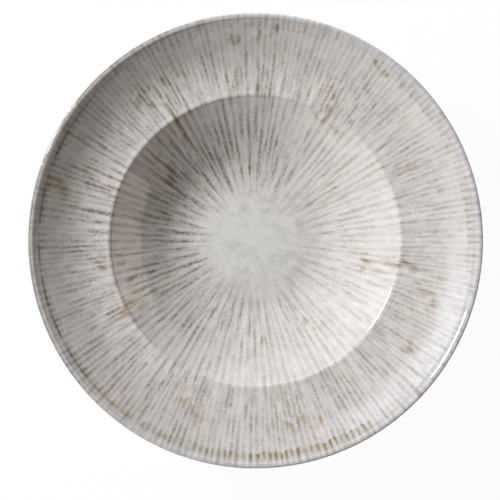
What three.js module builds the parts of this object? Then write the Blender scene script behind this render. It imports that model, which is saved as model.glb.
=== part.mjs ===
// A wide-rimmed pasta plate: one fired clay body, wrapped in four coats of glaze.
// Millimetres and degrees, +Z up. The origin lies on the plate's axis, in the plane its foot stands on.
// Every piece is a solid of revolution, so the plate is drawn as one profile of radius and height.

import * as THREE from "three";

// Well: the floor's and the well's diameters are those of the corners before they are rounded
const FLOOR_DIAMETER = 90;
const FLOOR_ROUNDING = 12;
const WELL_DIAMETER = 181;
const WELL_DEPTH = 23;
const WALL_BOW = 2.25;
const STEP_HEIGHT = 0.6;
const STEP_SLOPE = 38;
const STEP_ROUNDING = 0.35;
const EDGE_ROUNDING = 0.5;

// Rim: a gentle inner part, a bend and a steeper outer part
const PLATE_DIAMETER = 280;
const RIM_INNER_WIDTH = 9.5;
const RIM_INNER_SLOPE = 8;
const RIM_OUTER_WIDTH = 10;
const RIM_OUTER_SLOPE = 27;

// Lip: straight on from the rim, then a hollow and a small roll at the plate's edge
const LIP_OUTER_WIDTH = 2;
const LIP_HOLLOW_WIDTH = 0.7;
const LIP_INNER_SLOPE = 40;
const LIP_ROLL_WIDTH = 1.9;
const LIP_CREST_INSET = 0.9;
const LIP_SIDE_DROP = 1.7;

// Clay thickness
const FLOOR_THICKNESS = 5;
const WALL_THICKNESS = 4.6;
const RIM_THICKNESS = 4.2;
const SHOULDER_ROUNDING = 5;

// Foot ring
const FOOT_DIAMETER = 104;
const FOOT_WIDTH = 5;
const FOOT_DRAFT = 12;
const FOOT_ROUNDING = 2.5;
const RECESS_HEIGHT = 3.4;
const RECESS_ROUNDING = 1.2;
const BARE_FOOT_HEIGHT = 1.2;

// Glaze: each coat lies a bond line off the clay and a seam away from its neighbour
const GLAZE_THICKNESS = 0.4;
const BOND_LINE = 0.05;
const COAT_SEAM = 0.1;

// Facets round the axis, and steps along each kind of bend
const FACETS = 56;
const LONG_BEND_STEPS = 6;
const ROUNDING_STEPS = 3;
const SHORT_BEND_STEPS = 2;
const STRAIGHT_STEPS = 1;

// Headings of the profile, turning from outward (0) towards up (90)
const OUTWARD = 0;
const DOWN = -90;
const INWARD = -180;
const UP = -270;

// A station is a point of the profile with the heading that the profile has there.
// The profile runs from the axis out over the face, round the lip and back under the plate,
// so the clay is always on its right and the air on its left.
function station(radius, height, degrees) {
  return { at: new THREE.Vector2(radius, height), heading: THREE.MathUtils.degToRad(degrees) };
}

function ahead(heading) {
  return new THREE.Vector2(Math.cos(heading), Math.sin(heading));
}

function towardsAir(heading) {
  return new THREE.Vector2(-Math.sin(heading), Math.cos(heading));
}

function movedAhead(from, distance) {
  return { at: from.at.clone().addScaledVector(ahead(from.heading), distance), heading: from.heading };
}

// The station on the far side of a wall of clay, where the profile comes back the other way
function throughClay(from, thickness) {
  return {
    at: from.at.clone().addScaledVector(towardsAir(from.heading), -thickness),
    heading: from.heading - Math.PI,
  };
}

// The point where the straight lines through two stations cross
function crossing(first, second) {
  const gap = second.at.clone().sub(first.at);
  const along = ahead(first.heading);
  const across = ahead(second.heading);
  const distance = gap.cross(across) / along.cross(across);
  return first.at.clone().addScaledVector(along, distance);
}

// The stations where the rounding of a corner starts and ends, the same distance from the corner
function roundedCorner(corner, headingIn, headingOut, rounding) {
  return {
    start: movedAhead({ at: corner, heading: headingIn }, -rounding),
    end: movedAhead({ at: corner, heading: headingOut }, rounding),
  };
}

// A smooth curve from one station to the next, close to a circular arc where the two allow one
function bend(from, to, steps) {
  const turn = to.heading - from.heading;
  const handle = from.at.distanceTo(to.at) / (3 * Math.cos(turn / 4) ** 2);
  const curve = new THREE.CubicBezierCurve(
    from.at,
    movedAhead(from, handle).at,
    movedAhead(to, -handle).at,
    to.at,
  );
  return { curve, steps };
}

function straight(from, to) {
  return { curve: new THREE.LineCurve(from.at, to.at), steps: STRAIGHT_STEPS };
}

// Points along a run of curves, each lifted off the clay by the same distance
function trace(run, lift) {
  const points = [];
  run.forEach(({ curve, steps }, place) => {
    const firstStep = place === 0 ? 0 : 1;
    for (let step = firstStep; step <= steps; step += 1) {
      const heading = curve.getTangent(step / steps).angle();
      const point = curve.getPoint(step / steps);
      points.push(point.addScaledVector(towardsAir(heading), lift));
    }
  });
  return points;
}

// Heights of the clay's face, from the foot up
const coat = BOND_LINE + GLAZE_THICKNESS;
const clayRadius = PLATE_DIAMETER / 2 - coat;
const floorHeight = RECESS_HEIGHT + FLOOR_THICKNESS;
const edgeHeight = floorHeight + WELL_DEPTH;

// Well: a flat floor, a slightly hollow wall, a steeper step and the rounded edge of the rim
const floorMiddle = station(0, floorHeight, OUTWARD);
const floorCorner = new THREE.Vector2(FLOOR_DIAMETER / 2, floorHeight);
const stepSlope = THREE.MathUtils.degToRad(STEP_SLOPE);
const wellEdge = new THREE.Vector2(WELL_DIAMETER / 2, edgeHeight);
const stepWidth = STEP_HEIGHT / Math.tan(stepSlope);
const stepFoot = new THREE.Vector2(wellEdge.x - stepWidth, edgeHeight - STEP_HEIGHT);
const wallSlope = stepFoot.clone().sub(floorCorner).angle();
const wallBow = THREE.MathUtils.degToRad(WALL_BOW);
const rimInnerSlope = THREE.MathUtils.degToRad(RIM_INNER_SLOPE);
const floorBend = roundedCorner(floorCorner, floorMiddle.heading, wallSlope - wallBow, FLOOR_ROUNDING);
const stepBend = roundedCorner(stepFoot, wallSlope + wallBow, stepSlope, STEP_ROUNDING);
const edgeBend = roundedCorner(wellEdge, stepSlope, rimInnerSlope, EDGE_ROUNDING);

// The station further out, over that width, once the slope has changed evenly to the new one
function climbed(from, width, degrees) {
  const newSlope = THREE.MathUtils.degToRad(degrees);
  const height = from.at.y + width * Math.tan((from.heading + newSlope) / 2);
  return station(from.at.x + width, height, degrees);
}

// Face: the well, and a rim that is straight at first, bends up and is straight again
const lipWidth = LIP_OUTER_WIDTH + LIP_HOLLOW_WIDTH + LIP_ROLL_WIDTH + LIP_CREST_INSET;
const rimBendEndRadius = clayRadius - lipWidth - RIM_OUTER_WIDTH;
const rimStart = { at: wellEdge, heading: rimInnerSlope };
const rimBendStart = climbed(rimStart, RIM_INNER_WIDTH, RIM_INNER_SLOPE);
const rimBendEnd = climbed(rimBendStart, rimBendEndRadius - rimBendStart.at.x, RIM_OUTER_SLOPE);
const rimEnd = climbed(rimBendEnd, RIM_OUTER_WIDTH, RIM_OUTER_SLOPE);
const faceRun = [
  straight(floorMiddle, floorBend.start),
  bend(floorBend.start, floorBend.end, LONG_BEND_STEPS),
  bend(floorBend.end, stepBend.start, SHORT_BEND_STEPS),
  bend(stepBend.start, stepBend.end, SHORT_BEND_STEPS),
  straight(stepBend.end, edgeBend.start),
  bend(edgeBend.start, edgeBend.end, ROUNDING_STEPS),
  straight(edgeBend.end, rimBendStart),
  bend(rimBendStart, rimBendEnd, LONG_BEND_STEPS),
  straight(rimBendEnd, rimEnd),
];

// Lip: straight on from the rim, then the hollow, and the roll with its crest, side and underside
const hollowStart = climbed(rimEnd, LIP_OUTER_WIDTH, RIM_OUTER_SLOPE);
const hollowEnd = climbed(hollowStart, LIP_HOLLOW_WIDTH, LIP_INNER_SLOPE);
const crest = climbed(hollowEnd, LIP_ROLL_WIDTH, OUTWARD);
const lipSide = station(clayRadius, crest.at.y - LIP_SIDE_DROP, DOWN);
const lipStart = movedAhead(rimEnd, COAT_SEAM);
const lipEnd = throughClay(rimEnd, RIM_THICKNESS);
const lipRun = [
  straight(lipStart, hollowStart),
  bend(hollowStart, hollowEnd, SHORT_BEND_STEPS),
  bend(hollowEnd, crest, SHORT_BEND_STEPS),
  bend(crest, lipSide, ROUNDING_STEPS),
  bend(lipSide, lipEnd, SHORT_BEND_STEPS),
];

// Back: under the rim, round the shoulder, down the well's outside and the foot's outer side
const backStart = movedAhead(lipEnd, COAT_SEAM);
const underBendEnd = throughClay(rimBendEnd, RIM_THICKNESS);
const underBendStart = throughClay(rimBendStart, RIM_THICKNESS);
const underStep = throughClay(stepBend.start, WALL_THICKNESS);
const underFloor = throughClay(floorBend.end, WALL_THICKNESS);
const shoulder = crossing(underBendStart, underStep);
const shoulderBend = roundedCorner(shoulder, underBendStart.heading, underStep.heading, SHOULDER_ROUNDING);
const footRadius = FOOT_DIAMETER / 2;
const footLean = Math.tan(THREE.MathUtils.degToRad(FOOT_DRAFT));
const outerGlazeLine = station(
  footRadius + BARE_FOOT_HEIGHT * footLean,
  BARE_FOOT_HEIGHT,
  DOWN - FOOT_DRAFT,
);
const footTop = crossing(underFloor, outerGlazeLine);
const footBend = roundedCorner(footTop, underFloor.heading, outerGlazeLine.heading, FOOT_ROUNDING);
const backRun = [
  straight(backStart, underBendEnd),
  bend(underBendEnd, underBendStart, LONG_BEND_STEPS),
  straight(underBendStart, shoulderBend.start),
  bend(shoulderBend.start, shoulderBend.end, ROUNDING_STEPS),
  bend(shoulderBend.end, footBend.start, SHORT_BEND_STEPS),
  bend(footBend.start, footBend.end, ROUNDING_STEPS),
  straight(footBend.end, outerGlazeLine),
];

// Bare foot: the ring of unglazed clay that the plate stands on
const footInnerRadius = footRadius - FOOT_WIDTH;
const footOuterCorner = station(footRadius, 0, INWARD);
const footInnerCorner = station(footInnerRadius, 0, INWARD);
const innerGlazeLine = station(
  footInnerRadius - BARE_FOOT_HEIGHT * footLean,
  BARE_FOOT_HEIGHT,
  UP + FOOT_DRAFT,
);
const bareFootRun = [
  straight(outerGlazeLine, footOuterCorner),
  straight(footOuterCorner, footInnerCorner),
  straight(footInnerCorner, innerGlazeLine),
];

// Base: the recess inside the foot ring
const recessMiddle = station(0, RECESS_HEIGHT, INWARD);
const recessCorner = crossing(innerGlazeLine, recessMiddle);
const recessBend = roundedCorner(
  recessCorner,
  innerGlazeLine.heading,
  recessMiddle.heading,
  RECESS_ROUNDING,
);
const baseRun = [
  straight(innerGlazeLine, recessBend.start),
  bend(recessBend.start, recessBend.end, SHORT_BEND_STEPS),
  straight(recessBend.end, recessMiddle),
];

// A closed profile turned round the plate's axis
function revolve(name, profile, look) {
  const geometry = new THREE.LatheGeometry(profile, FACETS);
  geometry.rotateX(Math.PI / 2);
  const mesh = new THREE.Mesh(geometry, new THREE.MeshStandardMaterial(look));
  mesh.name = name;
  return mesh;
}

function clayBody(look) {
  const seamOnFace = straight(rimEnd, lipStart);
  const seamOnBack = straight(lipEnd, backStart);
  const outline = [...faceRun, seamOnFace, ...lipRun, seamOnBack, ...backRun, ...bareFootRun, ...baseRun];
  return revolve("clay_body", trace(outline, 0).reverse(), look);
}

// A coat of even thickness over a run of the clay; a run off the axis closes on itself
function glazeCoat(name, run, look) {
  const skin = trace(run, coat);
  const underside = trace(run, BOND_LINE);
  const outline = [...skin, ...underside.reverse()];
  const reachesAxis = outline.some((point) => point.x === 0);
  if (!reachesAxis) {
    outline.push(outline[0].clone());
  }
  return revolve(name, outline.reverse(), look);
}

const plate = new THREE.Group();
plate.add(
  clayBody({ color: 0xcfc4b2, roughness: 0.85, metalness: 0 }),
  glazeCoat("face_glaze", faceRun, { color: 0xbfb9b5, roughness: 0.22, metalness: 0 }),
  glazeCoat("edge_band", lipRun, { color: 0xb0aeac, roughness: 0.2, metalness: 0 }),
  glazeCoat("back_glaze", backRun, { color: 0xc6c1bb, roughness: 0.24, metalness: 0 }),
  glazeCoat("base_glaze", baseRun, { color: 0xc6c1bb, roughness: 0.24, metalness: 0 }),
);

export default plate;
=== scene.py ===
"""A pasta plate: glossy, radially streaked glaze over a fired clay body, seen from above on a pale floor.

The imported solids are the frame. Every piece here is turned finely from the same profile of radius and height,
and stands for one of them.
"""

import cmath
import math
import random
from typing import NamedTuple

import bpy
from mathutils import Matrix, Vector


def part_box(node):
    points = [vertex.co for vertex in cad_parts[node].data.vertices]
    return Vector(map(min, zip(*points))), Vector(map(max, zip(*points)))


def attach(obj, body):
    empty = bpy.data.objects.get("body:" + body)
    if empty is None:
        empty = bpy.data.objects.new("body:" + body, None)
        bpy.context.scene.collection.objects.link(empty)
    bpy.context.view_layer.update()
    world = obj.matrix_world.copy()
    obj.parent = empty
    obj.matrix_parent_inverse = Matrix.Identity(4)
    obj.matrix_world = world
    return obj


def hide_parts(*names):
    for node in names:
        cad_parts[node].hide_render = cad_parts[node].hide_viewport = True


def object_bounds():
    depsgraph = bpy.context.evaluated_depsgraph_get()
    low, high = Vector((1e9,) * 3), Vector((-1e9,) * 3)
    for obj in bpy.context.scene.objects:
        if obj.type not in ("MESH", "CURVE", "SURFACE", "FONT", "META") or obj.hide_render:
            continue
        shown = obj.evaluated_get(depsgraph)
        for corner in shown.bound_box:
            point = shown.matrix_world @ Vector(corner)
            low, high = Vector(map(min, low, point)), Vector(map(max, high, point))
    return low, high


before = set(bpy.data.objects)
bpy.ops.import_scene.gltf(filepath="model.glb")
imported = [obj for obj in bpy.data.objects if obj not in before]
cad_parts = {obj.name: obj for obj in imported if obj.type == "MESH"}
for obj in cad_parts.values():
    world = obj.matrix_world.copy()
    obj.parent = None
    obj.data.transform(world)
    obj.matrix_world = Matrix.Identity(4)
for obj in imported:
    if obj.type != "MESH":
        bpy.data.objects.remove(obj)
cad_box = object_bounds()

MM = 0.001

# Profile of the clay in millimetres and degrees, as in the solids.
# The floor's and the well's diameters are those of the corners before they are rounded.
PLATE_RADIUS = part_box("edge_band")[1].x / MM
FLOOR_DIAMETER = 90.0
FLOOR_ROUNDING = 12.0
WELL_DIAMETER = 181.0
WELL_DEPTH = 23.0
WALL_BOW = 2.25
STEP_HEIGHT = 0.6
STEP_SLOPE = 38.0
STEP_ROUNDING = 0.35
EDGE_ROUNDING = 0.5
RIM_INNER_WIDTH = 9.5
RIM_INNER_SLOPE = 8.0
RIM_OUTER_WIDTH = 10.0
RIM_OUTER_SLOPE = 27.0
LIP_OUTER_WIDTH = 2.0
LIP_HOLLOW_WIDTH = 0.7
LIP_INNER_SLOPE = 40.0
LIP_ROLL_WIDTH = 1.9
LIP_CREST_INSET = 0.9
LIP_SIDE_DROP = 1.7
FLOOR_THICKNESS = 5.0
WALL_THICKNESS = 4.6
RIM_THICKNESS = 4.2
SHOULDER_ROUNDING = 5.0
FOOT_DIAMETER = 104.0
FOOT_WIDTH = 5.0
FOOT_DRAFT = 12.0
FOOT_ROUNDING = 2.5
RECESS_HEIGHT = 3.4
RECESS_ROUNDING = 1.2
BARE_FOOT_HEIGHT = 1.2
GLAZE_THICKNESS = 0.4
BOND_LINE = 0.05

# Finer forms of the fired piece: the well's edge, which eases out onto the rim, the ground corners of the
# bare foot, and the rounded, wavy edge of the glaze there
EDGE_EASE = 3.6
FOOT_CORNER_ROUNDING = 0.6
BEAD_LENGTH = 0.7
BEAD_STEPS = 6
GLAZE_LINE_WAVE = 0.3
GLAZE_LINE_REACH = 2.5
GLAZE_LINE_RIPPLES = (3, 5, 8, 13, 21)

# Fineness of the turned meshes
SEGMENTS = 360
DEGREES_PER_STEP = 3.0
LENGTH_PER_STEP = 4.0
SHARP_ANGLE = 40.0

OUTWARD = 0.0
DOWN = -90.0
INWARD = -180.0
UP = -270.0


# Profile: a point of the r, z plane is a complex number, in millimetres.

class Station(NamedTuple):
    """A point of the profile and its heading there, with the clay on the right and the air on the left."""
    at: complex
    heading: float


def station(radius, height, degrees):
    return Station(complex(radius, height), math.radians(degrees))


def ahead(start, distance):
    return Station(start.at + cmath.rect(distance, start.heading), start.heading)


def through_clay(start, thickness):
    """The station on the far side of a wall of clay, where the profile comes back the other way."""
    towards_air = cmath.rect(1, start.heading + math.pi / 2)
    return Station(start.at - thickness * towards_air, start.heading - math.pi)


def cross(a, b):
    return (a.conjugate() * b).imag


def crossing(first, second):
    """The point where the straight lines through two stations cross."""
    along = cmath.rect(1, first.heading)
    across = cmath.rect(1, second.heading)
    return first.at + along * cross(second.at - first.at, across) / cross(along, across)


def rounded_corner(corner, heading_in, heading_out, rounding):
    """The stations where the rounding of a corner starts and ends."""
    return ahead(Station(corner, heading_in), -rounding), ahead(Station(corner, heading_out), rounding)


class Curve(NamedTuple):
    """A cubic curve of the profile, with the number of steps it is drawn in."""
    knots: tuple
    steps: int

    def point(self, t):
        a, b, c, d = self.knots
        u = 1 - t
        return u ** 3 * a + 3 * u * u * t * b + 3 * u * t * t * c + t ** 3 * d

    def direction(self, t):
        a, b, c, d = self.knots
        u = 1 - t
        along = u * u * (b - a) + 2 * u * t * (c - b) + t * t * (d - c)
        return along / abs(along)


def bend(start, end):
    """A smooth curve between two stations, close to a circular arc where they allow one."""
    turn = end.heading - start.heading
    chord = abs(end.at - start.at)
    handle = chord / (3 * math.cos(turn / 4) ** 2)
    steps = max(1, math.ceil(math.degrees(abs(turn)) / DEGREES_PER_STEP), math.ceil(chord / LENGTH_PER_STEP))
    return Curve((start.at, ahead(start, handle).at, ahead(end, -handle).at, end.at), steps)


def straight(start, end):
    heading = cmath.phase(end.at - start.at)
    return bend(Station(start.at, heading), Station(end.at, heading))


def trace(run, lift):
    """Points along a run of curves, each lifted off the clay by the same distance."""
    points = []
    for curve in run:
        for step in range(1 if points else 0, curve.steps + 1):
            t = step / curve.steps
            points.append(curve.point(t) + lift * 1j * curve.direction(t))
    return points


def climbed(start, width, degrees):
    """The station further out, over that width, once the slope has changed evenly to the new one."""
    mean_slope = (start.heading + math.radians(degrees)) / 2
    return station(start.at.real + width, start.at.imag + width * math.tan(mean_slope), degrees)


coat = BOND_LINE + GLAZE_THICKNESS
clay_radius = PLATE_RADIUS - coat
floor_height = RECESS_HEIGHT + FLOOR_THICKNESS
edge_height = floor_height + WELL_DEPTH

# Well: floor, wall, step and edge
floor_middle = station(0, floor_height, OUTWARD)
floor_corner = complex(FLOOR_DIAMETER / 2, floor_height)
step_slope = math.radians(STEP_SLOPE)
rim_inner_slope = math.radians(RIM_INNER_SLOPE)
well_edge = complex(WELL_DIAMETER / 2, edge_height)
step_foot = well_edge - complex(STEP_HEIGHT / math.tan(step_slope), STEP_HEIGHT)
wall_slope = cmath.phase(step_foot - floor_corner)
wall_bow = math.radians(WALL_BOW)
floor_start, floor_end = rounded_corner(
    floor_corner, floor_middle.heading, wall_slope - wall_bow, FLOOR_ROUNDING
)
step_start, step_end = rounded_corner(step_foot, wall_slope + wall_bow, step_slope, STEP_ROUNDING)
edge_start = ahead(Station(well_edge, step_slope), -EDGE_ROUNDING)
edge_end = ahead(Station(well_edge, rim_inner_slope), EDGE_EASE)

# Face: the well, and a rim that is straight at first, bends up and is straight again
lip_width = LIP_OUTER_WIDTH + LIP_HOLLOW_WIDTH + LIP_ROLL_WIDTH + LIP_CREST_INSET
rim_bend_end_radius = clay_radius - lip_width - RIM_OUTER_WIDTH
rim_bend_start = climbed(Station(well_edge, rim_inner_slope), RIM_INNER_WIDTH, RIM_INNER_SLOPE)
rim_bend_end = climbed(rim_bend_start, rim_bend_end_radius - rim_bend_start.at.real, RIM_OUTER_SLOPE)
rim_end = climbed(rim_bend_end, RIM_OUTER_WIDTH, RIM_OUTER_SLOPE)
face_run = [
    straight(floor_middle, floor_start),
    bend(floor_start, floor_end),
    bend(floor_end, step_start),
    bend(step_start, step_end),
    straight(step_end, edge_start),
    bend(edge_start, edge_end),
    straight(edge_end, rim_bend_start),
    bend(rim_bend_start, rim_bend_end),
    straight(rim_bend_end, rim_end),
]

# Lip: straight on from the rim, then the hollow, the roll's inner slope, crest, side and underside
hollow_start = climbed(rim_end, LIP_OUTER_WIDTH, RIM_OUTER_SLOPE)
hollow_end = climbed(hollow_start, LIP_HOLLOW_WIDTH, LIP_INNER_SLOPE)
crest = climbed(hollow_end, LIP_ROLL_WIDTH, OUTWARD)
lip_side = station(clay_radius, crest.at.imag - LIP_SIDE_DROP, DOWN)
lip_end = through_clay(rim_end, RIM_THICKNESS)
lip_run = [
    straight(rim_end, hollow_start),
    bend(hollow_start, hollow_end),
    bend(hollow_end, crest),
    bend(crest, lip_side),
    bend(lip_side, lip_end),
]

# Back: under the rim, round the shoulder, down the well's outside and the foot's outer side
under_bend_end = through_clay(rim_bend_end, RIM_THICKNESS)
under_bend_start = through_clay(rim_bend_start, RIM_THICKNESS)
under_step = through_clay(step_start, WALL_THICKNESS)
under_floor = through_clay(floor_end, WALL_THICKNESS)
shoulder_start, shoulder_end = rounded_corner(
    crossing(under_bend_start, under_step), under_bend_start.heading, under_step.heading, SHOULDER_ROUNDING
)
foot_radius = FOOT_DIAMETER / 2
foot_lean = BARE_FOOT_HEIGHT * math.tan(math.radians(FOOT_DRAFT))
outer_glaze_line = station(foot_radius + foot_lean, BARE_FOOT_HEIGHT, DOWN - FOOT_DRAFT)
foot_start, foot_end = rounded_corner(
    crossing(under_floor, outer_glaze_line), under_floor.heading, outer_glaze_line.heading, FOOT_ROUNDING
)
back_run = [
    straight(lip_end, under_bend_end),
    bend(under_bend_end, under_bend_start),
    straight(under_bend_start, shoulder_start),
    bend(shoulder_start, shoulder_end),
    bend(shoulder_end, foot_start),
    bend(foot_start, foot_end),
    straight(foot_end, outer_glaze_line),
]

# Bare foot: the ring of unglazed clay that the plate stands on
foot_inner_radius = foot_radius - FOOT_WIDTH
inner_glaze_line = station(foot_inner_radius - foot_lean, BARE_FOOT_HEIGHT, UP + FOOT_DRAFT)
inward = math.radians(INWARD)
outer_corner_start, outer_corner_end = rounded_corner(
    complex(foot_radius, 0), outer_glaze_line.heading, inward, FOOT_CORNER_ROUNDING
)
inner_corner_start, inner_corner_end = rounded_corner(
    complex(foot_inner_radius, 0), inward, inner_glaze_line.heading, FOOT_CORNER_ROUNDING
)
bare_foot_run = [
    straight(outer_glaze_line, outer_corner_start),
    bend(outer_corner_start, outer_corner_end),
    straight(outer_corner_end, inner_corner_start),
    bend(inner_corner_start, inner_corner_end),
    straight(inner_corner_end, inner_glaze_line),
]

# Base: the recess inside the foot ring
recess_middle = station(0, RECESS_HEIGHT, INWARD)
recess_start, recess_end = rounded_corner(
    crossing(inner_glaze_line, recess_middle), inner_glaze_line.heading, inward, RECESS_ROUNDING
)
base_run = [
    straight(inner_glaze_line, recess_start),
    bend(recess_start, recess_end),
    straight(recess_end, recess_middle),
]


def bead(end, along_sign):
    """The rounded edge of a coat at a glaze line, from its skin down to the clay."""
    along = along_sign * cmath.rect(1, end.heading)
    towards_air = cmath.rect(1, end.heading + math.pi / 2)
    middle = end.at - BEAD_LENGTH * along + BOND_LINE * towards_air
    points = []
    for step in range(BEAD_STEPS + 1):
        turn = math.pi / 2 * step / BEAD_STEPS
        forward = BEAD_LENGTH * math.sin(turn) * along
        raised = GLAZE_THICKNESS * math.cos(turn) * towards_air
        points.append(middle + forward + raised)
    return points


# Meshes: closed profiles turned round the plate's axis

ON_AXIS = 1e-6
BAKE_MAP = "OFBake"
SEEN_MIDDLE = complex(0.5, 0.5)
SEEN_REACH = 0.495
HIDDEN_MIDDLE = complex(0.04, 0.04)
HIDDEN_REACH = 0.035


def flat_reach(outline, skin):
    """How far out each point of the skin, a range of the outline, lies once the skin is laid flat."""
    order = list(skin)
    if outline[order[0]].real > outline[order[-1]].real:
        order.reverse()
    reach = {order[0]: outline[order[0]].real}
    for before, after in zip(order, order[1:]):
        reach[after] = reach[before] + abs(outline[after] - outline[before])
    return reach


def map_for_baking(mesh, outline, skin, point_of_vertex, seen_faces):
    """Lays the skin out as a disc, and what faces the clay as a small disc in the corner beside it."""
    reach = flat_reach(outline, skin)
    seen_scale = SEEN_REACH / max(reach.values())
    hidden_scale = HIDDEN_REACH / max(point.real for point in outline)
    places = []
    for polygon, seen in zip(mesh.polygons, seen_faces):
        for index in polygon.vertices:
            vertex = mesh.vertices[index].co
            point = point_of_vertex[index]
            turn = math.atan2(vertex.y, vertex.x)
            if seen:
                place = SEEN_MIDDLE + cmath.rect(reach[point] * seen_scale, turn)
            else:
                place = HIDDEN_MIDDLE + cmath.rect(outline[point].real * hidden_scale, turn)
            places.extend((place.real, place.imag))
    mesh.uv_layers.new(name=BAKE_MAP).uv.foreach_set("vector", places)


def turned(name, outline, closed, skin):
    """A profile, drawn with its solid on the right, turned round the axis. An open one ends on the axis."""
    vertices = []
    point_of_vertex = []
    rings = []
    for index, point in enumerate(outline):
        first = len(vertices)
        if point.real < ON_AXIS:
            vertices.append((0, 0, point.imag * MM))
            point_of_vertex.append(index)
            rings.append([first] * SEGMENTS)
            continue
        for segment in range(SEGMENTS):
            across = cmath.rect(point.real, 2 * math.pi * segment / SEGMENTS)
            vertices.append((across.real * MM, across.imag * MM, point.imag * MM))
            point_of_vertex.append(index)
        rings.append(list(range(first, first + SEGMENTS)))
    faces = []
    seen_faces = []
    for index in range(len(rings) if closed else len(rings) - 1):
        inner = rings[index]
        outer = rings[(index + 1) % len(rings)]
        for segment in range(SEGMENTS):
            following = (segment + 1) % SEGMENTS
            corners = (inner[segment], outer[segment], outer[following], inner[following])
            face = tuple(dict.fromkeys(corners))
            if len(face) > 2:
                faces.append(face)
                seen_faces.append(index in skin and index + 1 in skin)
    mesh = bpy.data.meshes.new(name)
    mesh.from_pydata(vertices, [], faces)
    map_for_baking(mesh, outline, skin, point_of_vertex, seen_faces)
    mesh.validate()
    mesh.shade_smooth()
    mesh.set_sharp_from_angle(angle=math.radians(SHARP_ANGLE))
    piece = bpy.data.objects.new(name, mesh)
    bpy.context.scene.collection.objects.link(piece)
    return piece


def glaze_coat(name, run, start_bead=False, end_bead=False):
    """A coat of even thickness over a run of the clay, with rounded edges where it ends on bare clay."""
    skin = trace(run, coat)
    underside = trace(run, BOND_LINE)
    if end_bead:
        end = Station(run[-1].knots[-1], cmath.phase(run[-1].direction(1)))
        skin = skin[:-1] + bead(end, 1)
    if start_bead:
        start = Station(run[0].knots[0], cmath.phase(run[0].direction(0)))
        skin = bead(start, -1)[::-1] + skin[1:]
    if skin[-1].real < ON_AXIS:
        first = len(underside)
        return turned(name, underside[::-1] + skin, closed=False, skin=range(first, first + len(skin)))
    reaches_axis = skin[0].real < ON_AXIS
    return turned(name, skin + underside[::-1], closed=not reaches_axis, skin=range(len(skin)))


glazed_points = len(trace(face_run + lip_run + back_run, 0))
foot_points = len(trace(bare_foot_run, 0))
fired_body = turned(
    "fired_body",
    trace(face_run + lip_run + back_run + bare_foot_run + base_run, 0),
    closed=False,
    skin=range(glazed_points - 1, glazed_points + foot_points - 1),
)
streaked_face = glaze_coat("streaked_face", face_run)
lip_band = glaze_coat("lip_band", lip_run)
glazed_back = glaze_coat("glazed_back", back_run, end_bead=True)
glazed_base = glaze_coat("glazed_base", base_run, start_bead=True)


def wave_glaze_line(piece, seed):
    """Lets the edge of a coat wander up and down the foot, as glaze does where it was wiped off."""
    chance = random.Random(seed)
    phases = {ripples: chance.uniform(0, 2 * math.pi) for ripples in GLAZE_LINE_RIPPLES}
    for vertex in piece.data.vertices:
        reach = 1 - (vertex.co.z / MM - BARE_FOOT_HEIGHT) / GLAZE_LINE_REACH
        if reach <= 0:
            continue
        turn = math.atan2(vertex.co.y, vertex.co.x)
        wave = sum(math.sin(ripples * turn + phase) for ripples, phase in phases.items())
        vertex.co.z += GLAZE_LINE_WAVE * MM * min(reach, 1) * wave / len(phases)


wave_glaze_line(glazed_back, seed=1)
wave_glaze_line(glazed_base, seed=2)


# Materials

def linear(*channels):
    """A colour of 8-bit sRGB channels as the linear one that shaders take."""
    values = []
    for channel in channels:
        part = channel / 255
        values.append(part / 12.92 if part <= 0.04045 else ((part + 0.055) / 1.055) ** 2.4)
    return (*values, 1.0)


class Field:
    """A value that varies over a surface: the output of a shader node. Arithmetic on it adds nodes."""

    def __init__(self, tree, socket):
        self.tree = tree
        self.socket = socket

    def __add__(self, other):
        return calculate(self.tree, "ADD", self, other)

    def __radd__(self, other):
        return calculate(self.tree, "ADD", other, self)

    def __sub__(self, other):
        return calculate(self.tree, "SUBTRACT", self, other)

    def __rsub__(self, other):
        return calculate(self.tree, "SUBTRACT", other, self)

    def __mul__(self, other):
        return calculate(self.tree, "MULTIPLY", self, other)

    def __truediv__(self, other):
        return calculate(self.tree, "DIVIDE", self, other)

    def exponential(self):
        return calculate(self.tree, "EXPONENT", self)

    def cosine(self):
        return calculate(self.tree, "COSINE", self)

    def power(self, exponent):
        return calculate(self.tree, "POWER", self, exponent)

    def at_least(self, other):
        return calculate(self.tree, "MAXIMUM", self, other)

    def ramp(self, low, high, start=0.0, end=1.0):
        """Rises smoothly from start to end while this value goes from low to high."""
        node = self.tree.nodes.new("ShaderNodeMapRange")
        node.interpolation_type = "SMOOTHSTEP"
        settings = {"Value": self, "From Min": low, "From Max": high, "To Min": start, "To Max": end}
        for name, value in settings.items():
            feed(self.tree, node.inputs[name], value)
        return Field(self.tree, node.outputs["Result"])


def feed(tree, socket, value):
    if isinstance(value, Field):
        tree.links.new(value.socket, socket)
    else:
        socket.default_value = value


def calculate(tree, operation, *values):
    node = tree.nodes.new("ShaderNodeMath")
    node.operation = operation
    for socket, value in zip(node.inputs, values):
        feed(tree, socket, value)
    return Field(tree, node.outputs[0])


def vector(tree, x, y, z):
    node = tree.nodes.new("ShaderNodeCombineXYZ")
    for socket, value in zip(node.inputs, (x, y, z)):
        feed(tree, socket, value)
    return Field(tree, node.outputs[0])


# The mix node's own numbers for its sockets when it mixes colours
MIX_FACTOR = 0
MIX_FIRST = 6
MIX_SECOND = 7
MIX_RESULT = 2


def tinted(tree, amount, colour, other):
    """One colour turning into another as the amount goes from 0 to 1."""
    node = tree.nodes.new("ShaderNodeMix")
    node.data_type = "RGBA"
    node.clamp_factor = True
    feed(tree, node.inputs[MIX_FACTOR], amount)
    feed(tree, node.inputs[MIX_FIRST], colour)
    feed(tree, node.inputs[MIX_SECOND], other)
    return Field(tree, node.outputs[MIX_RESULT])


NOISE_MEAN = 0.5
NOISE_ROUGHNESS = 0.5


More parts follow.
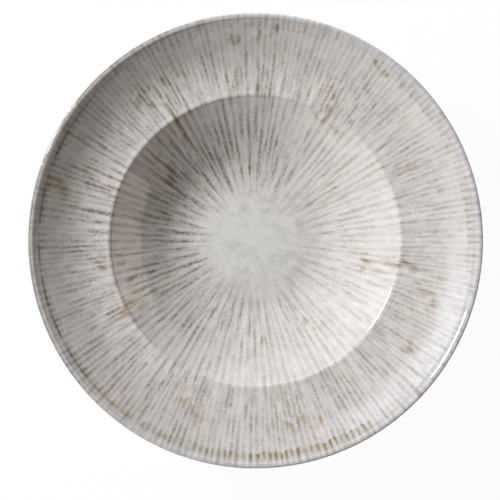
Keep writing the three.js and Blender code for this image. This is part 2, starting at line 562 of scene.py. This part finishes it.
def noise(tree, place, detail):
    """Soft noise between about 0.2 and 0.8, with features one unit of the place apart."""
    node = tree.nodes.new("ShaderNodeTexNoise")
    node.noise_dimensions = "3D"
    node.inputs["Scale"].default_value = 1.0
    node.inputs["Detail"].default_value = detail
    node.inputs["Roughness"].default_value = NOISE_ROUGHNESS
    feed(tree, node.inputs["Vector"], place)
    return Field(tree, node.outputs[0])


class PlateSpace:
    """Where a point of the plate is, in millimetres: across the axis, up it, out from it and round it."""

    def __init__(self, tree):
        self.tree = tree
        coordinates = tree.nodes.new("ShaderNodeTexCoord")
        parts = tree.nodes.new("ShaderNodeSeparateXYZ")
        tree.links.new(coordinates.outputs["Object"], parts.inputs[0])
        self.x, self.y, self.z = (Field(tree, output) / MM for output in parts.outputs)
        self.radius = calculate(tree, "SQRT", self.x * self.x + self.y * self.y)
        self.turn = calculate(tree, "ARCTAN2", self.y, self.x)
        self.cosine = self.x / self.radius
        self.sine = self.y / self.radius

    def ring_noise(self, around, along, seed):
        """Noise with so many features round the plate, each so many millimetres long outwards."""
        spread = around / (2 * math.pi)
        place = vector(self.tree, self.cosine * spread, self.sine * spread, self.radius / along + seed)
        return noise(self.tree, place, detail=1.0)

    def towards(self, side):
        """1 on that side of the plate, 0 square to it and -1 on the far side."""
        return self.cosine * math.cos(side) + self.sine * math.sin(side)

    def grain(self, size, seed, detail=2.0):
        """Noise with features of that size in every direction."""
        place = vector(self.tree, self.x / size + seed, self.y / size, self.z / size)
        return noise(self.tree, place, detail)


def new_material(name):
    material = bpy.data.materials.new(name)
    material.use_nodes = True
    tree = material.node_tree
    return material, tree, tree.nodes["Principled BSDF"]


def relief(tree, shader, height, depth):
    """Bumps of that depth in millimetres, where the height goes from 0 to 1."""
    bump = tree.nodes.new("ShaderNodeBump")
    bump.inputs["Strength"].default_value = 1.0
    bump.inputs["Distance"].default_value = depth * MM
    feed(tree, bump.inputs["Height"], height)
    tree.links.new(bump.outputs["Normal"], shader.inputs["Normal"])


CENTRE_COLOUR = linear(202, 202, 199)
PALE_COLOUR = linear(215, 212, 211)
INNER_RIM_COLOUR = linear(220, 217, 216)
OUTER_RIM_COLOUR = linear(209, 206, 205)
# A painted reflection: the pale bluish patch on the outer rim where a lamp's reflection falls
PAINTED_REFLECTION_COLOUR = linear(221, 221, 223)
LIP_COLOUR = linear(201, 201, 202)
BACK_COLOUR = linear(205, 201, 196)
STROKE_COLOUR = linear(120, 114, 110)
WARM_STROKE_COLOUR = linear(124, 114, 96)
DASH_COLOUR = linear(88, 82, 66)
GOLD_DASH_COLOUR = linear(138, 124, 68)
OCHRE = linear(172, 136, 88)
OLIVE = linear(122, 114, 76)
CLAY_COLOUR = linear(205, 190, 168)
CLAY_SPECK_COLOUR = linear(150, 122, 92)

GLAZE_IOR = 1.5
GLAZE_ROUGHNESS = (0.02, 0.05)
GLAZE_RELIEF = 0.012
PEEL_HEIGHT = 0.25
STROKE_DEPTH = 0.5
CLAY_ROUGHNESS = (0.75, 0.95)
CLAY_RELIEF = 0.06

# Sides of the plate on which the glaze differs, or on which a reflection, shade and light are painted, as world
# azimuths
GOLD_SIDE = math.radians(-94)
DASH_GAP_SIDE = math.radians(-30)
# The crease's painted shade lies on this side
CREASE_PAINTED_SHADE_SIDE = math.radians(-172)
FAINT_SIDE = math.radians(-25)
PAINTED_REFLECTION_SIDE = math.radians(-36)
# The outside of the lip has painted shade on this side, towards the main lamp
LIP_PAINTED_SHADE_SIDE = math.radians(165)

# Zones of the glaze: the two radii, in millimetres, between which each one sets in or ends
STREAKS_SET_IN = (17, 44)
PLAIN_MIDDLE_ENDS = (22, 44)
FLECKS_SET_IN = (36, 44)
UPPER_WALL_SETS_IN = (62, 84)
UPPER_WALL_ENDS = (89, 91)
RIM_SETS_IN = (88, 92)
INNER_RIM_SETS_IN = (89.5, 91.5)
INNER_RIM_ENDS = (100, 118)
OUTER_RIM_SETS_IN = (106, 120)
THINNER_STREAKS_SET_IN = (108, 128)
PAINTED_REFLECTION_SETS_IN = (116, 127)
DASHES_SET_IN = (130.2, 130.8)
DASHES_END = (131.6, 138.4)
LIP_SIDE_SETS_IN = (138.0, 139.4)

# Strokes: so many at the middle, twice as many further out and four times as many on the rim.
# Each set has its noise's seed, the radius where it starts and how raggedly it does so.
STROKES = 54
STROKE_WIDTH = 1.0
STROKE_WANDER = 0.6
STROKE_UNEVENNESS = 3
STROKE_FADE_IN = 22
FIRST_STROKES = {"seed": 1.3, "start": 17.0, "spread": 30}
SECOND_STROKES = {"seed": 5.9, "start": 42.0, "spread": 50}
THIRD_STROKES = {"seed": 9.2, "start": 82.0, "spread": 60}

# Streaks: how dark the strokes with their grains and halos, the finer streaks and the broad shades are,
# and how this changes from the well to the rim and towards the faint side
STROKE_SHADE = 0.36
STROKE_GRAIN = 0.38
STROKE_HALO = 0.04
HALO_POWER = 0.3
FINE_SHADE = 0.04
FINE_GRAIN = 0.12
BROAD_SHADE = 0.05
STREAK_RAGGEDNESS = 26
STREAK_STRENGTH = (0.95, 0.85)
FAINTNESS = (0.4, 0.2)
FAINT_SHADE = 0.25
UPPER_WALL_LOSS = 0.3
OUTER_RIM_LOSS = (0.38, 0.04)

# Dashes at the ends of the strokes, and the dark crease beside them: glaze pooled in the hollow, with painted
# shade on one side
DASH_WIDTH = 0.62
DASH_SHADE = 0.14
DASH_SHIFT = 4
DASH_STRENGTH = 0.8
CREASE_RADIUS = 133.5
CREASE_WIDTH = 0.8

# Shades and flecks of the ground
FLECK_POWER = 0.6
FLECK_STRENGTH = 0.8
OCHRE_SHARE = 0.16
MIDDLE_CLOUD = 0.6
FACE_CLOUD = 0.3
FACE_SHADE = 0.06
SPECKLE = 0.2
LIP_STROKES = 0.3
LIP_FINE_STREAKS = 0.25
# Painted shade on the outside of the lip towards the main lamp, and painted light on the far side
LIP_PAINTED_LIGHT_AND_SHADE = (-0.2, 0.85)
BACK_CLOUD = 0.3
BACK_SPECKLE = 0.22
CLAY_CLOUD = 0.4
CLAY_SPECKS = 0.5
PLAIN_SHADE = 0.05

# A length over which noise hardly changes from the axis outwards
WHOLE_LENGTH = 500


class Strokes:
    """The brushed radial strokes of the glaze, which run on from the face over the lip."""

    def __init__(self, space):
        self.space = space
        wander = (space.ring_noise(around=60, along=22, seed=3.1) - NOISE_MEAN) * STROKE_WANDER
        uneven = (space.ring_noise(around=36, along=300, seed=7.7) - NOISE_MEAN) * STROKE_UNEVENNESS
        phase = (space.turn + wander / space.radius) * STROKES + uneven
        self.once = phase.cosine()
        self.twice = self.once * self.once * 2 - 1
        self.spacing = space.radius / STROKES

    def line(self, off_line, spacing, width):
        """Soft lines of that width, from how far a cosine is off its value on the lines."""
        return (off_line * spacing * spacing * (-1 / width ** 2)).exponential()

    def strength(self, seed, start, spread):
        """How dark each line is: it starts raggedly and is stronger in some places than in others."""
        space = self.space
        ragged = start + (space.ring_noise(around=90, along=WHOLE_LENGTH, seed=seed) - NOISE_MEAN) * spread
        own = space.ring_noise(around=190, along=30, seed=seed + 20).ramp(0.3, 0.7, 0.55, 1.15)
        broken = space.ring_noise(around=170, along=9, seed=seed + 40).ramp(0.35, 0.6, 0.5, 1.1)
        return own * broken * (space.radius - ragged).ramp(0, STROKE_FADE_IN)

    def darkness(self):
        first = self.line(1 - self.once, self.spacing, STROKE_WIDTH) * self.strength(**FIRST_STROKES)
        second = self.line(1 + self.once, self.spacing, STROKE_WIDTH) * self.strength(**SECOND_STROKES)
        third = self.line(1 + self.twice, self.spacing / 2, STROKE_WIDTH) * self.strength(**THIRD_STROKES)
        return first.at_least(second).at_least(third)

    def dashes(self):
        """Dark dashes at the outer ends of the strokes, in patches round the plate."""
        space = self.space
        four_times = self.twice * self.twice * 2 - 1
        shift = (space.ring_noise(around=230, along=WHOLE_LENGTH, seed=51.0) - NOISE_MEAN) * DASH_SHIFT
        place = space.radius - shift
        length = place.ramp(*DASHES_SET_IN) * (1 - place.ramp(*DASHES_END))
        patches = space.ring_noise(around=16, along=WHOLE_LENGTH, seed=53.0).ramp(0.35, 0.6, 0.5, 1.0)
        patches = patches * space.towards(DASH_GAP_SIDE).ramp(0.85, 1.0, 1.0, 0.05)
        patches = patches * space.towards(GOLD_SIDE).ramp(0.72, 0.97, 0.55, 1.4)
        own = space.ring_noise(around=210, along=WHOLE_LENGTH, seed=57.0).ramp(0.3, 0.55, 0.15, 1.0)
        lines = self.line(1 - four_times, self.spacing / 4, DASH_WIDTH)
        return (lines * own + DASH_SHADE) * length * patches

    def pooled_glaze_and_shade(self):
        """The thin dark line where the lip rises from the rim: glaze pooled in the hollow, and painted shade on
        one side of the plate.
        """
        space = self.space
        off = (space.radius - CREASE_RADIUS) / CREASE_WIDTH
        own = space.ring_noise(around=110, along=WHOLE_LENGTH, seed=61.0).ramp(0.3, 0.65, 0.15, 0.65)
        return (off * off * -1.0).exponential() * own * space.towards(CREASE_PAINTED_SHADE_SIDE).ramp(0.2, 0.95)


def streak_pattern(space, lines):
    """Darkness of the streaks: strokes broken up into grains, soft shades along them and finer streaks."""
    radius = space.radius
    grain = space.grain(size=1.3, seed=2.0, detail=3.0).ramp(0.3, 0.68)
    fine = space.ring_noise(around=430, along=16, seed=4.4).ramp(0.35, 0.75)
    broad = space.ring_noise(around=60, along=45, seed=8.8).ramp(0.3, 0.7)
    dark = lines * (grain * STROKE_GRAIN + STROKE_SHADE) + lines.power(HALO_POWER) * STROKE_HALO
    dark = dark + fine * (grain * FINE_GRAIN + FINE_SHADE) + broad * BROAD_SHADE
    faintness = space.towards(FAINT_SIDE) * radius.ramp(*RIM_SETS_IN, *FAINTNESS)
    dark = dark * (radius.ramp(*RIM_SETS_IN, *STREAK_STRENGTH) - faintness) + faintness * FAINT_SHADE
    ragged = (space.ring_noise(around=44, along=24, seed=6.6) - NOISE_MEAN) * STREAK_RAGGEDNESS
    onset = (radius + ragged).ramp(*STREAKS_SET_IN)
    upper_wall = radius.ramp(*UPPER_WALL_SETS_IN) * (1 - radius.ramp(*UPPER_WALL_ENDS))
    outer_rim = radius.ramp(*THINNER_STREAKS_SET_IN)
    outer_rim = outer_rim * space.towards(GOLD_SIDE).ramp(0.3, 0.9, *OUTER_RIM_LOSS)
    return dark * onset * (1 - upper_wall * UPPER_WALL_LOSS) * (1 - outer_rim)


def glaze_finish(space, shader, sunk):
    """A gloss with a faint unevenness, in which the strokes lie a little lower."""
    tree = space.tree
    peel = space.grain(size=2.2, seed=11.0, detail=1.0)
    roughness = space.grain(size=3.0, seed=5.0).ramp(0.2, 0.8, *GLAZE_ROUGHNESS)
    relief(tree, shader, peel * PEEL_HEIGHT - sunk * STROKE_DEPTH, GLAZE_RELIEF)
    feed(tree, shader.inputs["Roughness"], roughness)
    shader.inputs["IOR"].default_value = GLAZE_IOR


def flecked(space, lines, colour):
    """Flecks where iron in the glaze has bled through: olive ones, and more ochre ones on the golden side."""
    tree = space.tree
    cluster = space.ring_noise(around=17, along=30, seed=21.0).ramp(0.57, 0.68)
    cluster = cluster * space.radius.ramp(*FLECKS_SET_IN)
    flecks = lines.power(FLECK_POWER) * space.ring_noise(around=120, along=8, seed=23.0).ramp(0.5, 0.62)
    olive = space.ring_noise(around=20, along=30, seed=27.0) - space.towards(GOLD_SIDE) * OCHRE_SHARE
    hue = tinted(tree, olive.ramp(0.24, 0.48), OCHRE, OLIVE)
    return tinted(tree, flecks * cluster * FLECK_STRENGTH, colour, hue)


def face_colour(space, lines, dark):
    tree = space.tree
    radius = space.radius
    middle = 1 - radius.ramp(*PLAIN_MIDDLE_ENDS)
    inner_rim = radius.ramp(*INNER_RIM_SETS_IN) * (1 - radius.ramp(*INNER_RIM_ENDS))
    outer_rim = radius.ramp(*OUTER_RIM_SETS_IN)
    # Painted reflection: a pale bluish patch on the outer rim, on the side where a lamp is reflected
    painted_reflection = radius.ramp(*PAINTED_REFLECTION_SETS_IN) * space.towards(PAINTED_REFLECTION_SIDE).ramp(0.75, 0.98)
    ground = tinted(tree, middle, PALE_COLOUR, CENTRE_COLOUR)
    ground = tinted(tree, inner_rim, ground, INNER_RIM_COLOUR)
    ground = tinted(tree, outer_rim, ground, OUTER_RIM_COLOUR)
    ground = tinted(tree, painted_reflection, ground, PAINTED_REFLECTION_COLOUR)
    warm = space.ring_noise(around=120, along=18, seed=41.0).ramp(0.52, 0.7)
    stroke = tinted(tree, warm, STROKE_COLOUR, WARM_STROKE_COLOUR)
    cloud = space.grain(size=6.0, seed=31.0, detail=5.0) - NOISE_MEAN
    cloud = cloud * (middle * MIDDLE_CLOUD + FACE_CLOUD)
    speckle = space.grain(size=1.3, seed=37.0) - NOISE_MEAN
    colour = tinted(tree, dark + cloud + speckle * SPECKLE + FACE_SHADE, ground, stroke)
    return flecked(space, lines, colour)


def dashed(space, strokes, colour):
    """The ring of dashes where the rim meets the lip, golden on one side of the plate, and the dark crease
    beside it with its painted shade.
    """
    tree = space.tree
    gold = space.towards(GOLD_SIDE).ramp(0.5, 0.9)
    gold = gold * space.grain(size=1.8, seed=63.0).ramp(0.35, 0.6, 0.3, 1.0)
    hue = tinted(tree, gold, DASH_COLOUR, GOLD_DASH_COLOUR)
    grain = space.grain(size=1.1, seed=59.0).ramp(0.3, 0.6, 0.5, 1.0)
    return tinted(tree, strokes.dashes() * grain * DASH_STRENGTH + strokes.pooled_glaze_and_shade(), colour, hue)


def streaked_glaze():
    material, tree, shader = new_material("streaked_glaze")
    space = PlateSpace(tree)
    strokes = Strokes(space)
    lines = strokes.darkness()
    dark = streak_pattern(space, lines)
    colour = dashed(space, strokes, face_colour(space, lines, dark))
    feed(tree, shader.inputs["Base Color"], colour)
    glaze_finish(space, shader, lines)
    return material


def edge_glaze():
    material, tree, shader = new_material("edge_glaze")
    space = PlateSpace(tree)
    strokes = Strokes(space)
    lines = strokes.darkness()
    fine = space.ring_noise(around=420, along=9, seed=71.0).ramp(0.4, 0.7)
    speckle = space.grain(size=1.2, seed=73.0) - NOISE_MEAN
    # Painted shade on the outside of the lip on the side facing the main lamp, and painted light on the far
    # side
    side = space.radius.ramp(*LIP_SIDE_SETS_IN) * space.towards(LIP_PAINTED_SHADE_SIDE).ramp(0, 0.9, *LIP_PAINTED_LIGHT_AND_SHADE)
    dark = lines * LIP_STROKES + fine * LIP_FINE_STREAKS + side
    ground = tinted(tree, dark + speckle * SPECKLE + PLAIN_SHADE, LIP_COLOUR, STROKE_COLOUR)
    feed(tree, shader.inputs["Base Color"], dashed(space, strokes, ground))
    glaze_finish(space, shader, lines)
    return material


def plain_glaze():
    material, tree, shader = new_material("plain_glaze")
    space = PlateSpace(tree)
    cloud = space.grain(size=14.0, seed=81.0, detail=4.0) - NOISE_MEAN
    speckle = space.grain(size=1.0, seed=83.0).ramp(0.58, 0.72)
    dark = cloud * BACK_CLOUD + speckle * BACK_SPECKLE
    colour = tinted(tree, dark + PLAIN_SHADE, BACK_COLOUR, STROKE_COLOUR)
    feed(tree, shader.inputs["Base Color"], colour)
    glaze_finish(space, shader, speckle)
    return material


def fired_clay():
    material, tree, shader = new_material("fired_clay")
    space = PlateSpace(tree)
    specks = space.grain(size=0.8, seed=91.0).ramp(0.6, 0.7)
    cloud = space.grain(size=10.0, seed=93.0, detail=3.0) - NOISE_MEAN
    grit = space.grain(size=0.35, seed=95.0, detail=3.0)
    dark = specks * CLAY_SPECKS + cloud * CLAY_CLOUD
    colour = tinted(tree, dark + PLAIN_SHADE, CLAY_COLOUR, CLAY_SPECK_COLOUR)
    feed(tree, shader.inputs["Base Color"], colour)
    feed(tree, shader.inputs["Roughness"], grit.ramp(0.2, 0.8, *CLAY_ROUGHNESS))
    relief(tree, shader, grit, CLAY_RELIEF)
    return material


glaze_of_back = plain_glaze()
DRESSING = (
    (fired_body, "clay_body", "fired_clay", fired_clay()),
    (streaked_face, "face_glaze", "streaked_glaze", streaked_glaze()),
    (lip_band, "edge_band", "edge_glaze", edge_glaze()),
    (glazed_back, "back_glaze", "plain_glaze", glaze_of_back),
    (glazed_base, "base_glaze", "plain_glaze", glaze_of_back),
)
for piece, node, slot, material in DRESSING:
    piece.data.materials.append(material)
    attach(piece, "root")
    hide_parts(node)


# Stage: a pale round floor with a low wall far off, that shows white and keeps the plate's shadow

FLOOR_RADIUS = 6.0
BACKDROP_HEIGHT = 1.1
FLOOR_SIDES = 64
FLOOR_COLOUR = (0.9, 0.9, 0.9, 1.0)
FLOOR_WHITENESS = 0.96


def pale_floor():
    edge = [cmath.rect(FLOOR_RADIUS, 2 * math.pi * side / FLOOR_SIDES) for side in range(FLOOR_SIDES)]
    vertices = [(at.real, at.imag, 0) for at in edge] + [(at.real, at.imag, BACKDROP_HEIGHT) for at in edge]
    faces = [tuple(range(FLOOR_SIDES))]
    for side in range(FLOOR_SIDES):
        following = (side + 1) % FLOOR_SIDES
        faces.append((side, side + FLOOR_SIDES, following + FLOOR_SIDES, following))
    mesh = bpy.data.meshes.new("studio_floor")
    mesh.from_pydata(vertices, [], faces)
    floor = bpy.data.objects.new("studio_floor", mesh)
    bpy.context.scene.collection.objects.link(floor)
    material, tree, shader = new_material("pale_floor")
    shader.inputs["Base Color"].default_value = FLOOR_COLOUR
    shader.inputs["Roughness"].default_value = 1.0
    shader.inputs["Specular IOR Level"].default_value = 0.0
    path = tree.nodes.new("ShaderNodeLightPath")
    seen = Field(tree, path.outputs["Is Camera Ray"])
    seen = seen.at_least(Field(tree, path.outputs["Is Glossy Ray"]))
    seen = seen.at_least(Field(tree, path.outputs["Is Transmission Ray"]))
    white = tree.nodes.new("ShaderNodeEmission")
    mix = tree.nodes.new("ShaderNodeMixShader")
    feed(tree, mix.inputs[0], seen * FLOOR_WHITENESS)
    tree.links.new(shader.outputs[0], mix.inputs[1])
    tree.links.new(white.outputs[0], mix.inputs[2])
    tree.links.new(mix.outputs[0], tree.nodes["Material Output"].inputs["Surface"])
    mesh.materials.append(material)


# Light: directions are world azimuth and elevation in degrees, seen from the plate

AIM = Vector((0, 0, 25 * MM))
LAMP_DISTANCE = 1.5

# What a square metre of an area lamp takes for each unit of radiance
WATTS_PER_RADIANCE = 4


def direction(azimuth, elevation):
    a = math.radians(azimuth)
    e = math.radians(elevation)
    return Vector((math.cos(a) * math.cos(e), math.sin(a) * math.cos(e), math.sin(e)))


def soft_box(name, azimuth, elevation, wide, high, radiance, roll=0.0, tint=(1.0, 1.0, 1.0)):
    """A rectangular lamp that fills so many degrees, as seen from the plate, at an even radiance."""
    lamp = bpy.data.lights.new(name, "AREA")
    lamp.shape = "RECTANGLE"
    lamp.size = 2 * LAMP_DISTANCE * math.tan(math.radians(wide) / 2)
    lamp.size_y = 2 * LAMP_DISTANCE * math.tan(math.radians(high) / 2)
    lamp.energy = WATTS_PER_RADIANCE * lamp.size * lamp.size_y * radiance
    lamp.color = tint
    holder = bpy.data.objects.new(name, lamp)
    away = direction(azimuth, elevation)
    aim = (-away).to_track_quat("-Z", "Y").to_matrix().to_4x4()
    rolled = Matrix.Rotation(math.radians(roll), 4, "Z")
    holder.matrix_world = Matrix.Translation(AIM + away * LAMP_DISTANCE) @ aim @ rolled
    holder.visible_camera = False
    bpy.context.scene.collection.objects.link(holder)


WARM_LIGHT = (1.0, 0.86, 0.76)
COOL_LIGHT = (0.9, 0.95, 1.0)

# Sky: its strength low down and high up, the heights between which it changes, and its glow
SKY_COLOUR = (1.0, 0.915, 0.85, 1.0)
SKY_STRENGTH = (0.1, 0.09)
SKY_HEIGHTS = (0.1, 0.8)
GLOW_AZIMUTH = -130
GLOW_ELEVATION = 16
GLOW = 1.0
GLOW_FOCUS = 4.0

# Fill from the right: three lamps side by side, each with its azimuth and radiance
FILL_LAMPS = ((-17, 1.25), (1, 1.45), (19, 1.45))
FILL = {"elevation": 31.2, "wide": 15.4, "high": 11, "tint": WARM_LIGHT}


def soft_sky():
    """A dim, warm sky with a broad soft glow on one side."""
    world = bpy.data.worlds.new("soft_sky")
    world.use_nodes = True
    tree = world.node_tree
    coordinates = tree.nodes.new("ShaderNodeTexCoord")
    parts = tree.nodes.new("ShaderNodeSeparateXYZ")
    tree.links.new(coordinates.outputs["Generated"], parts.inputs[0])
    east, north, up = (Field(tree, output) for output in parts.outputs)
    glow_east, glow_north, glow_up = direction(GLOW_AZIMUTH, GLOW_ELEVATION)
    facing_glow = east * glow_east + north * glow_north + up * glow_up
    glow = facing_glow.at_least(0.0).power(GLOW_FOCUS) * GLOW
    background = tree.nodes["Background"]
    background.inputs["Color"].default_value = SKY_COLOUR
    feed(tree, background.inputs["Strength"], up.ramp(*SKY_HEIGHTS, *SKY_STRENGTH) + glow)
    bpy.context.scene.world = world


pale_floor()
soft_sky()
soft_box("key", azimuth=149.5, elevation=26.5, wide=18, high=2.8, radiance=264)
soft_box("key_side", azimuth=86, elevation=28, wide=60, high=20, radiance=1.05)
soft_box("key_halo", azimuth=150, elevation=42, wide=22, high=5, radiance=0.9, roll=-12, tint=COOL_LIGHT)
for azimuth, radiance in FILL_LAMPS:
    soft_box(f"fill_right_{azimuth}", azimuth, radiance=radiance, **FILL)

# Camera: almost straight down through a long lens, with the plate placed as in the photograph
FRAME_PIXELS = 500
PLATE_PIXELS = 456.4
PLATE_CENTRE_PIXELS = (257.05, 240.65)
LENS = 150.0
SENSOR = 36.0
LEAN = 3.0
CLIP_END = 50


def camera():
    data = bpy.data.cameras.new("camera")
    data.lens = LENS
    data.sensor_width = SENSOR
    data.clip_end = CLIP_END
    pixel = 2 * PLATE_RADIUS * MM / PLATE_PIXELS
    distance = FRAME_PIXELS * pixel * LENS / SENSOR
    off_right = (FRAME_PIXELS / 2 - PLATE_CENTRE_PIXELS[0]) * pixel
    off_up = (PLATE_CENTRE_PIXELS[1] - FRAME_PIXELS / 2) * pixel
    target = Vector((off_right, off_up, cad_box[1].z))
    lean = Matrix.Rotation(math.radians(-LEAN), 4, "Y")
    eye = bpy.data.objects.new("camera", data)
    eye.matrix_world = Matrix.Translation(target) @ lean @ Matrix.Translation((0, 0, distance))
    bpy.context.scene.collection.objects.link(eye)
    bpy.context.scene.camera = eye


camera()
bpy.context.scene.view_settings.view_transform = "Standard"
